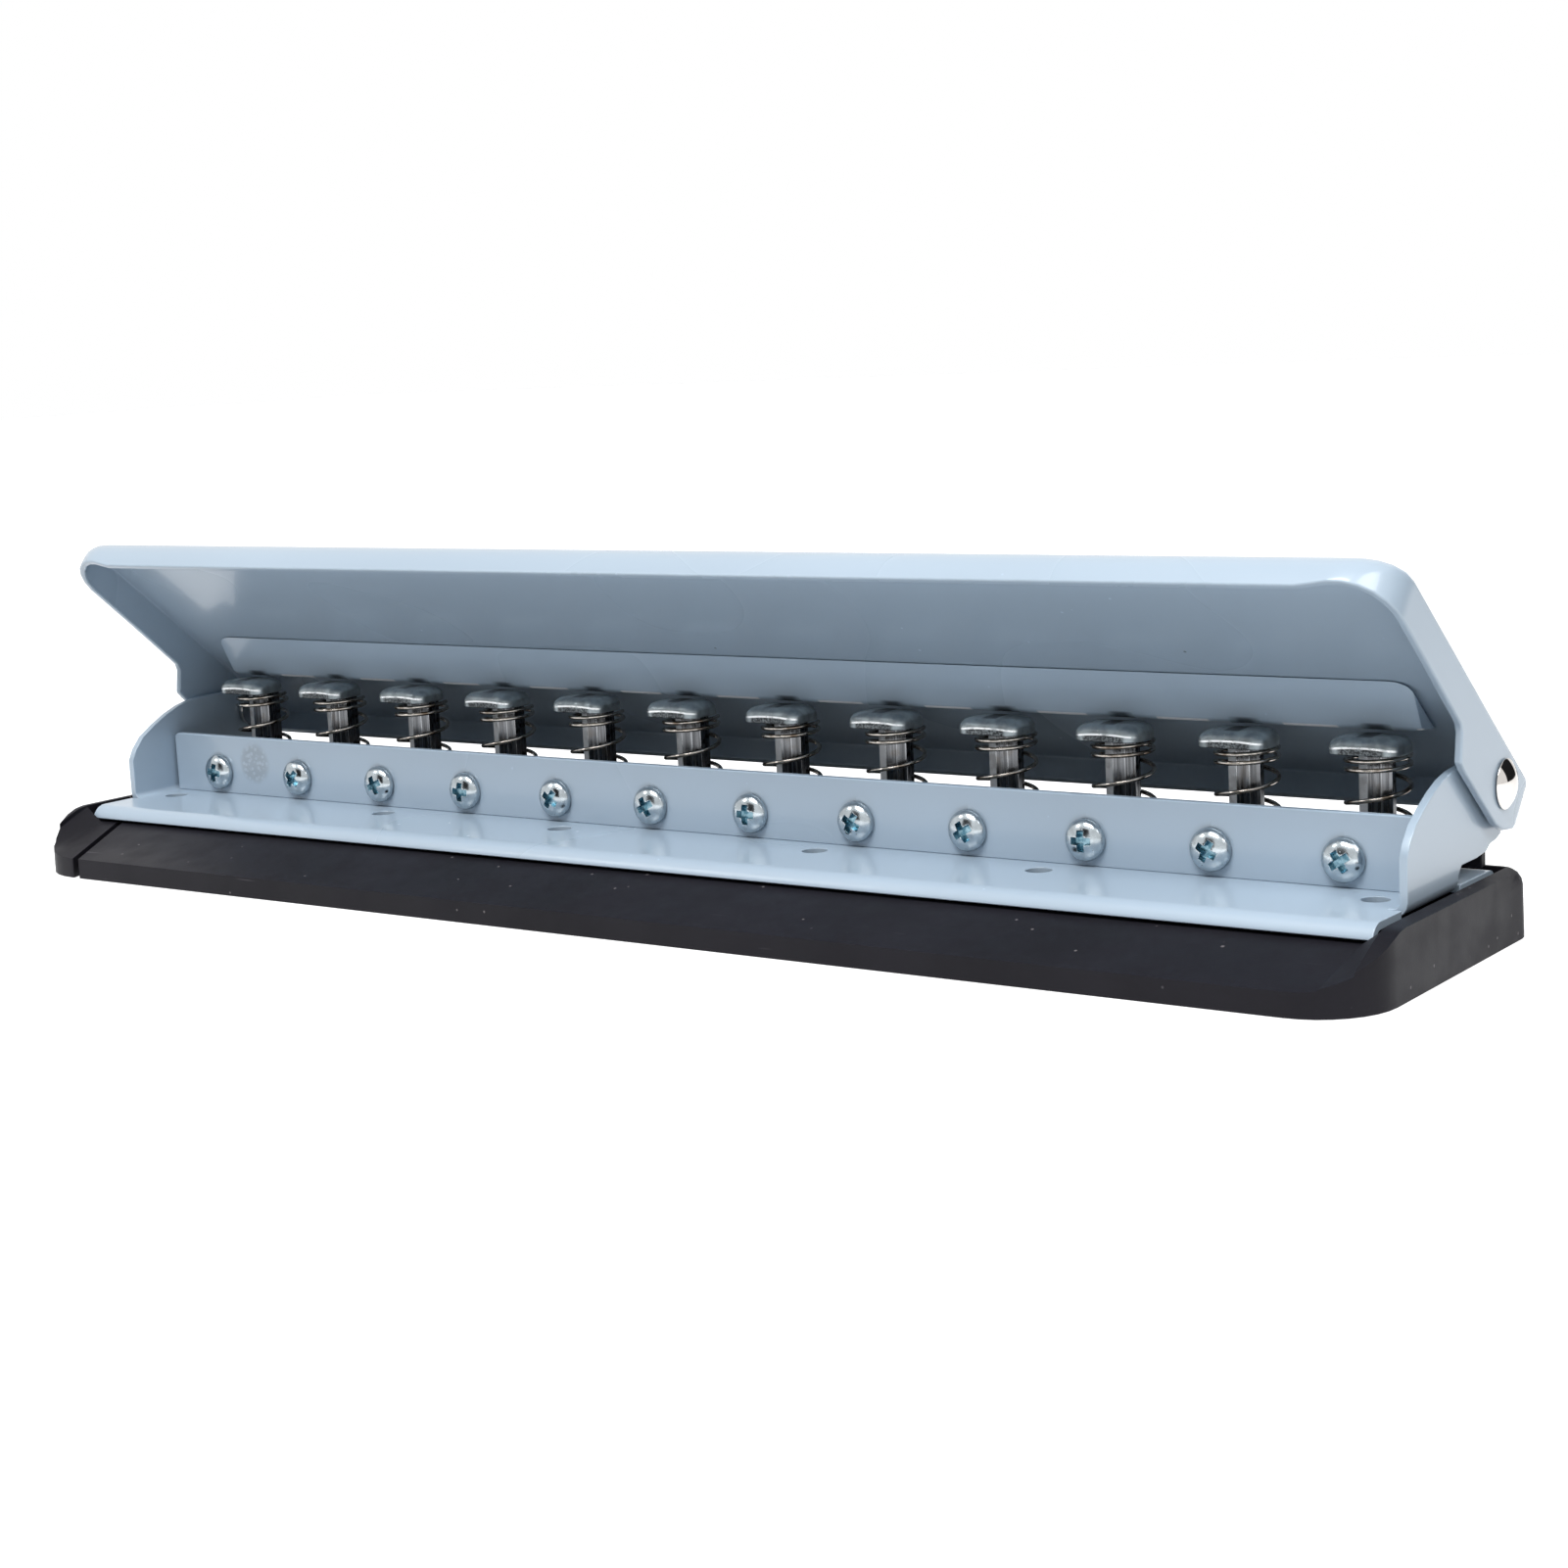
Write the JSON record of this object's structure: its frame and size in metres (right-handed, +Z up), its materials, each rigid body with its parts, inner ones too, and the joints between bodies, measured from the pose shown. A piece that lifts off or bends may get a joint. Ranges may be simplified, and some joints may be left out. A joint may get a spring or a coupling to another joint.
{
  "type": "mushroom hole punch",
  "caption": "Desk punch for disc bound sheets: a hinged sheet metal handle drives a row of sprung mushroom punches over a black base with a chip tray.",
  "frame": {"origin": "centre of the bounding box's bottom face, on the table under the base", "axes": "+X to the right along the row of punches as seen from the paper side, +Y from the paper side towards the pivot, +Z up"},
  "size_m": [0.3227, 0.0794, 0.071],
  "materials": {
    "blue_grey_paint": "gloss light blue grey paint on sheet steel",
    "black_plastic": "satin black moulded plastic",
    "zinc_plate": "bright zinc plate",
    "chrome": "polished dome",
    "dull_steel": "dull oiled steel",
    "punch_steel": "ground tool steel",
    "spring_wire": "bright spring wire"
  },
  "bodies": {
    "frame": {"base": "black_plastic", "chassis": "blue_grey_paint", "front_plate": "blue_grey_paint", "guide_bar": "dull_steel", "die_plate": "punch_steel", "rear_strip": "black_plastic", "left_pivot_rivet": "chrome", "right_pivot_rivet": "chrome", "screw_01": "zinc_plate", "screw_02": "zinc_plate", "screw_03": "zinc_plate", "screw_04": "zinc_plate", "screw_05": "zinc_plate", "screw_06": "zinc_plate", "screw_07": "zinc_plate", "screw_08": "zinc_plate", "screw_09": "zinc_plate", "screw_10": "zinc_plate", "screw_11": "zinc_plate", "screw_12": "zinc_plate", "spring_01": "spring_wire", "spring_02": "spring_wire", "spring_03": "spring_wire", "spring_04": "spring_wire", "spring_05": "spring_wire", "spring_06": "spring_wire", "spring_07": "spring_wire", "spring_08": "spring_wire", "spring_09": "spring_wire", "spring_10": "spring_wire", "spring_11": "spring_wire", "spring_12": "spring_wire"},
    "handle": {"handle": "blue_grey_paint", "press_bar": "blue_grey_paint"},
    "chip_tray": {"chip_tray": "black_plastic"},
    "punch_01": {"punch_01": "punch_steel", "head_01": "dull_steel"},
    "punch_02": {"punch_02": "punch_steel", "head_02": "dull_steel"},
    "punch_03": {"punch_03": "punch_steel", "head_03": "dull_steel"},
    "punch_04": {"punch_04": "punch_steel", "head_04": "dull_steel"},
    "punch_05": {"punch_05": "punch_steel", "head_05": "dull_steel"},
    "punch_06": {"punch_06": "punch_steel", "head_06": "dull_steel"},
    "punch_07": {"punch_07": "punch_steel", "head_07": "dull_steel"},
    "punch_08": {"punch_08": "punch_steel", "head_08": "dull_steel"},
    "punch_09": {"punch_09": "punch_steel", "head_09": "dull_steel"},
    "punch_10": {"punch_10": "punch_steel", "head_10": "dull_steel"},
    "punch_11": {"punch_11": "punch_steel", "head_11": "dull_steel"},
    "punch_12": {"punch_12": "punch_steel", "head_12": "dull_steel"}
  },
  "joints": [
    {"name": "handle_hinge", "type": "hinge", "parent": "frame", "child": "handle", "pos_m": [0, 0.0276, 0.0274], "axis": [1, 0, 0], "range_deg": [0, 36.5], "stiffness_Nm_per_rad": 0.8, "springref_deg": -17.19},
    {"name": "chip_tray_slide", "type": "slide", "parent": "frame", "child": "chip_tray", "axis": [-1, 0, 0], "range_m": [0, 0.26]},
    {"name": "punch_01_slide", "type": "slide", "parent": "frame", "child": "punch_01", "axis": [0, 0, -1], "range_m": [0, 0.008], "deforming": ["spring_01"]},
    {"name": "punch_02_slide", "type": "slide", "parent": "frame", "child": "punch_02", "axis": [0, 0, -1], "range_m": [0, 0.008], "deforming": ["spring_02"]},
    {"name": "punch_03_slide", "type": "slide", "parent": "frame", "child": "punch_03", "axis": [0, 0, -1], "range_m": [0, 0.008], "deforming": ["spring_03"]},
    {"name": "punch_04_slide", "type": "slide", "parent": "frame", "child": "punch_04", "axis": [0, 0, -1], "range_m": [0, 0.008], "deforming": ["spring_04"]},
    {"name": "punch_05_slide", "type": "slide", "parent": "frame", "child": "punch_05", "axis": [0, 0, -1], "range_m": [0, 0.008], "deforming": ["spring_05"]},
    {"name": "punch_06_slide", "type": "slide", "parent": "frame", "child": "punch_06", "axis": [0, 0, -1], "range_m": [0, 0.008], "deforming": ["spring_06"]},
    {"name": "punch_07_slide", "type": "slide", "parent": "frame", "child": "punch_07", "axis": [0, 0, -1], "range_m": [0, 0.008], "deforming": ["spring_07"]},
    {"name": "punch_08_slide", "type": "slide", "parent": "frame", "child": "punch_08", "axis": [0, 0, -1], "range_m": [0, 0.008], "deforming": ["spring_08"]},
    {"name": "punch_09_slide", "type": "slide", "parent": "frame", "child": "punch_09", "axis": [0, 0, -1], "range_m": [0, 0.008], "deforming": ["spring_09"]},
    {"name": "punch_10_slide", "type": "slide", "parent": "frame", "child": "punch_10", "axis": [0, 0, -1], "range_m": [0, 0.008], "deforming": ["spring_10"]},
    {"name": "punch_11_slide", "type": "slide", "parent": "frame", "child": "punch_11", "axis": [0, 0, -1], "range_m": [0, 0.008], "deforming": ["spring_11"]},
    {"name": "punch_12_slide", "type": "slide", "parent": "frame", "child": "punch_12", "axis": [0, 0, -1], "range_m": [0, 0.008], "deforming": ["spring_12"]}
  ],
  "couplings": [
    {"joint": "punch_01_slide", "follows": "handle_hinge", "m_per_rad": 0.0123},
    {"joint": "punch_02_slide", "follows": "handle_hinge", "m_per_rad": 0.0123},
    {"joint": "punch_03_slide", "follows": "handle_hinge", "m_per_rad": 0.0123},
    {"joint": "punch_04_slide", "follows": "handle_hinge", "m_per_rad": 0.0123},
    {"joint": "punch_05_slide", "follows": "handle_hinge", "m_per_rad": 0.0123},
    {"joint": "punch_06_slide", "follows": "handle_hinge", "m_per_rad": 0.0123},
    {"joint": "punch_07_slide", "follows": "handle_hinge", "m_per_rad": 0.0123},
    {"joint": "punch_08_slide", "follows": "handle_hinge", "m_per_rad": 0.0123},
    {"joint": "punch_09_slide", "follows": "handle_hinge", "m_per_rad": 0.0123},
    {"joint": "punch_10_slide", "follows": "handle_hinge", "m_per_rad": 0.0123},
    {"joint": "punch_11_slide", "follows": "handle_hinge", "m_per_rad": 0.0123},
    {"joint": "punch_12_slide", "follows": "handle_hinge", "m_per_rad": 0.0123}
  ]
}
